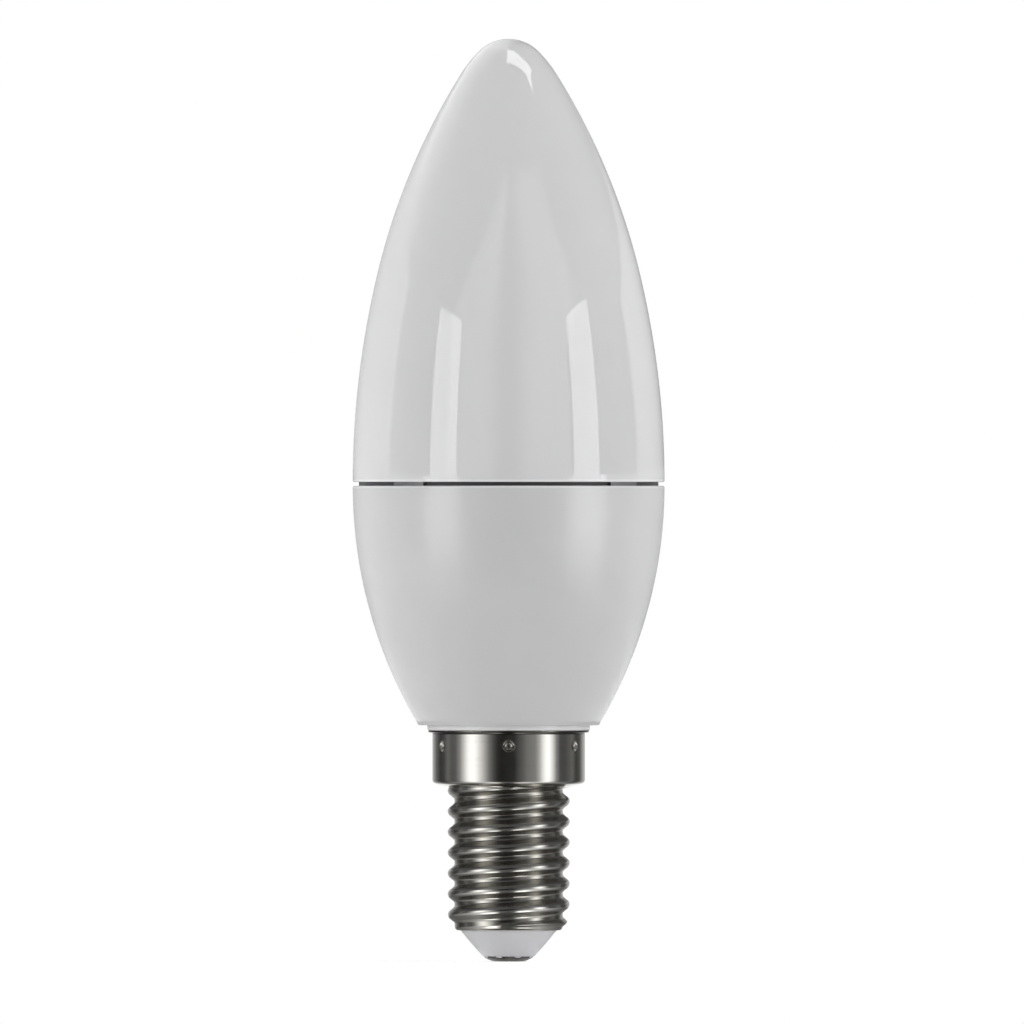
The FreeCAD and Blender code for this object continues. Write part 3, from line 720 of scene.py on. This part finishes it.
def gloss_card(name, glow, sweep, end_glow=None, quickness=1.0):
    """Curved sheet round the lamp's axis, over azimuth and a share that runs up or out: sweep takes
    both and gives the distance from the axis, the height and the azimuth of each point. Glow lists
    the brightness at some azimuths, with an even change in between, and so does end glow for the
    sheet's far edge; quickness says how soon the one turns into the other."""
    stops, levels = np.array(glow, float).T
    columns = np.unique(np.concatenate([np.linspace(stops[0], stops[-1], 61), stops]))
    azimuth, share = np.meshgrid(columns, np.linspace(0, 1, 31))
    level = np.interp(azimuth, stops, levels)
    if end_glow:
        end_level = np.interp(azimuth, *np.array(end_glow, float).T)
        level += (end_level - level) * np.clip(share * quickness, 0, 1)
    distance, height, azimuth = sweep(share, azimuth)
    turn = np.radians(azimuth)
    points = np.stack([distance * np.sin(turn), -distance * np.cos(turn), height], -1)
    number = np.arange(turn.size).reshape(turn.shape)
    quads = np.stack([number[:-1, :-1], number[1:, :-1], number[1:, 1:], number[:-1, 1:]], -1)
    mesh = bpy.data.meshes.new(name)
    mesh.from_pydata(points.reshape(-1, 3).tolist(), [], quads.reshape(-1, 4).tolist())
    glows = mesh.attributes.new("glow", "FLOAT", "POINT")
    glows.data.foreach_set("value", level.astype(np.float32).ravel())
    mesh.materials.append(card_material)
    card = bpy.data.objects.new(name, mesh)
    bpy.context.scene.collection.objects.link(card)
    card.visible_camera = card.visible_diffuse = card.visible_shadow = card.visible_transmission = False


def dome(distance, low, high):
    """Sweep up a dome between two angles above the horizon."""
    def sweep(share, azimuth):
        up = np.radians(low + (high - low) * share)
        return distance * np.cos(up), distance * np.sin(up), azimuth
    return sweep


def leaning(distance, low, high, left, right):
    """Sweep up a dome, where left and right list how wide each half of the sheet stays at some angles
    above the horizon, as a share of its azimuth."""
    def sweep(share, azimuth):
        up = low + (high - low) * share
        kept_left, kept_right = (np.interp(up, *np.array(side).T) for side in (left, right))
        kept = np.where(azimuth < 0, kept_left, kept_right)
        return distance * np.cos(np.radians(up)), distance * np.sin(np.radians(up)), azimuth * kept
    return sweep


def upright(distance, low, high):
    """Sweep straight up between two heights at one distance from the axis."""
    return lambda share, azimuth: (distance + 0 * share, low + (high - low) * share, azimuth)


def flat(height, start, end):
    """Sweep in or out between two distances from the axis at one height."""
    return lambda share, azimuth: (start + (end - start) * share, height + 0 * share, azimuth)


gloss_card("left_wall", [(-180, 0.5), (-160, 0.65), (-135, 1.1), (-99, 1.65)], dome(1.6, -3, 20))
gloss_card("right_wall", [(111, 1.4), (138, 0.8), (160, 0.35), (180, 0.25)], dome(1.6, -3, 16.5))
gloss_card("curtain", [
    (-180, 0.9), (-150, 1.8), (-115, 1.1), (-97, 0.4), (-82, 0.12), (172, 0.12), (180, 0.9),
], dome(1.8, -3, 90))
gloss_card("front_fill", [
    (-47, 1.15), (-18, 1.4), (-5, 0.1), (5, 0.1), (18, 1.25), (47, 1.0),
], leaning(1.4, -3, 47, left=[(23, 1.0), (47, 0.11)], right=[(20, 1.0), (22, 1.3), (47, 0.85)]))
cap_flags = [
    (-165, 0.6), (-155, 0.5), (-135, 0.16), (-121, 0.05), (-110, 0.07), (-100, 0.18), (-91, 0.12),
    (-83, 0.14), (-75, 0.34), (-68, 0.82), (-61, 1.45), (-54, 1.75), (-47, 1.42), (-41, 0.96),
    (-34, 0.53), (-28, 0.23), (-22, 0.1), (-16, 0.035), (-10, 0.02), (8, 0.03), (14, 0.09), (20, 0.14),
    (26, 0.22), (39, 0.3), (45, 0.58), (52, 1.3), (59, 1.75), (65, 1.2), (73, 0.33), (80, 0.1), (89, 0.09),
    (97, 0.125), (107, 0.17), (118, 0.06), (130, 0.1), (148, 0.48), (165, 0.6),
]
cap_dim = [
    (-180, 0.1), (-75, 0.1), (-50, 0.28), (-30, 0.14), (0, 0.08), (35, 0.14), (55, 0.28), (75, 0.1),
    (180, 0.1),
]
cap_below = [
    (-180, 0.3), (-121, 0.15), (-90, 0.35), (-57, 0.65), (-30, 0.72), (-14, 0.2), (0, 0.12),
    (14, 0.2), (30, 0.72), (60, 0.85), (85, 0.35), (120, 0.15), (180, 0.3),
]
cap_foot_light = [
    (-180, 0.25), (-110, 0.2), (-75, 0.35), (-62, 0.5), (-46, 1.1), (-34, 2.9), (-22, 2.5), (-12, 0.15),
    (0, 0.1), (10, 0.15), (18, 2.5), (30, 2.9), (44, 1.1), (62, 0.5), (75, 0.35), (110, 0.2), (180, 0.25),
]
cap_foot_dim = [
    (-180, 0.25), (-110, 0.2), (-75, 0.35), (-54, 0.6), (-34, 0.3), (-22, 0.16), (0, 0.1), (22, 0.16),
    (34, 0.3), (54, 0.6), (75, 0.35), (110, 0.2), (180, 0.25),
]
# Distances and heights of the ring and its level sheets, in metres.
ring_out, ring_in, sheet_in, sheet_rise, sheet_out = 0.07, 0.0105, 0.0045, 0.0085, 0.018
over_floor, under_housing, card_split = 0.0003, 0.0264, 0.0268
gloss_card("cap_flags", cap_flags, upright(ring_out, 0.0, card_split))
gloss_card("cap_flags_above", cap_flags, flat(under_housing, ring_out, ring_in), cap_dim, 3.0)
gloss_card("cap_flags_foot", cap_foot_dim, flat(over_floor, sheet_in, sheet_rise))
gloss_card("cap_flags_rise", cap_foot_dim, flat(over_floor, sheet_rise, ring_in), cap_foot_light)
gloss_card("cap_flags_under", cap_foot_light, flat(over_floor, ring_in, sheet_out), cap_below)
gloss_card("cap_flags_below", cap_below, flat(over_floor, sheet_out, ring_out), cap_flags, 1.6)
housing_band = [
    (-180, 0.3), (-150, 0.6), (-120, 1.5), (-62, 1.4), (-59, 4.2), (-36, 4.2), (-31, 1.2), (-14, 0.9),
    (0, 0.4), (14, 0.9), (38, 1.3), (46, 4.0), (49, 4.7), (70, 4.7), (73, 1.6), (110, 1.6), (140, 0.7),
    (180, 0.2),
]
housing_floor = [(-180, 1.1), (180, 1.1)]
band_out, band_top, floor_edge = 0.11, 0.056, 0.035
gloss_card("housing_band", housing_band, upright(band_out, card_split, band_top))
gloss_card("housing_floor", housing_floor, flat(card_split, ring_in, floor_edge))
gloss_card("housing_band_below", housing_floor, flat(card_split, floor_edge, band_out), housing_band)


# Lamps: two tall softboxes left and right of the camera, soft light from both sides and from behind
# that shows in no gloss, and a long softbox overhead that draws the gleam on the tip.
def softbox(name, width, depth, radiance, place, turn, glossy=True):
    """Area lamp of that size and place; its power follows from the radiance it is to show."""
    data = bpy.data.lights.new(name, "AREA")
    data.shape = "RECTANGLE"
    data.size, data.size_y = width, depth
    data.energy = radiance * math.pi * width * depth
    box = bpy.data.objects.new(name, data)
    box.location = place
    box.rotation_euler = turn
    bpy.context.scene.collection.objects.link(box)
    box.visible_camera = False
    box.visible_glossy = glossy


def standing_softbox(name, azimuth, distance, width, bottom, top, radiance, glossy=True):
    """Softbox that faces the lamp's axis; azimuth is measured from the camera, to the picture's right."""
    turn = math.radians(azimuth)
    place = (distance * math.sin(turn), -distance * math.cos(turn), (top + bottom) / 2)
    softbox(name, width, top - bottom, radiance, place, (math.pi / 2, 0, turn), glossy)


box_bottom, box_top = 0.02, 0.432
side_distance, side_width, side_bottom, side_top = 0.9, 0.86, 0.005, 0.5
standing_softbox("left_softbox", -49.5, 1.0, 0.37, box_bottom, box_top, 3.8)
standing_softbox("right_softbox", 60, 1.0, 0.38, box_bottom, box_top, 3.9)
for side_name, side_azimuth, side_radiance in (("left", -92, 2.05), ("right", 95, 1.0), ("back", 180, 1.2)):
    standing_softbox(side_name + "_side_light", side_azimuth, side_distance, side_width, side_bottom,
                     side_top, side_radiance, glossy=False)
softbox("overhead", 0.93, 0.37, 5.8, (0.4, -0.15, 1.3), (0, 0, math.radians(-4)))


bpy.context.scene.view_settings.view_transform = "Standard"
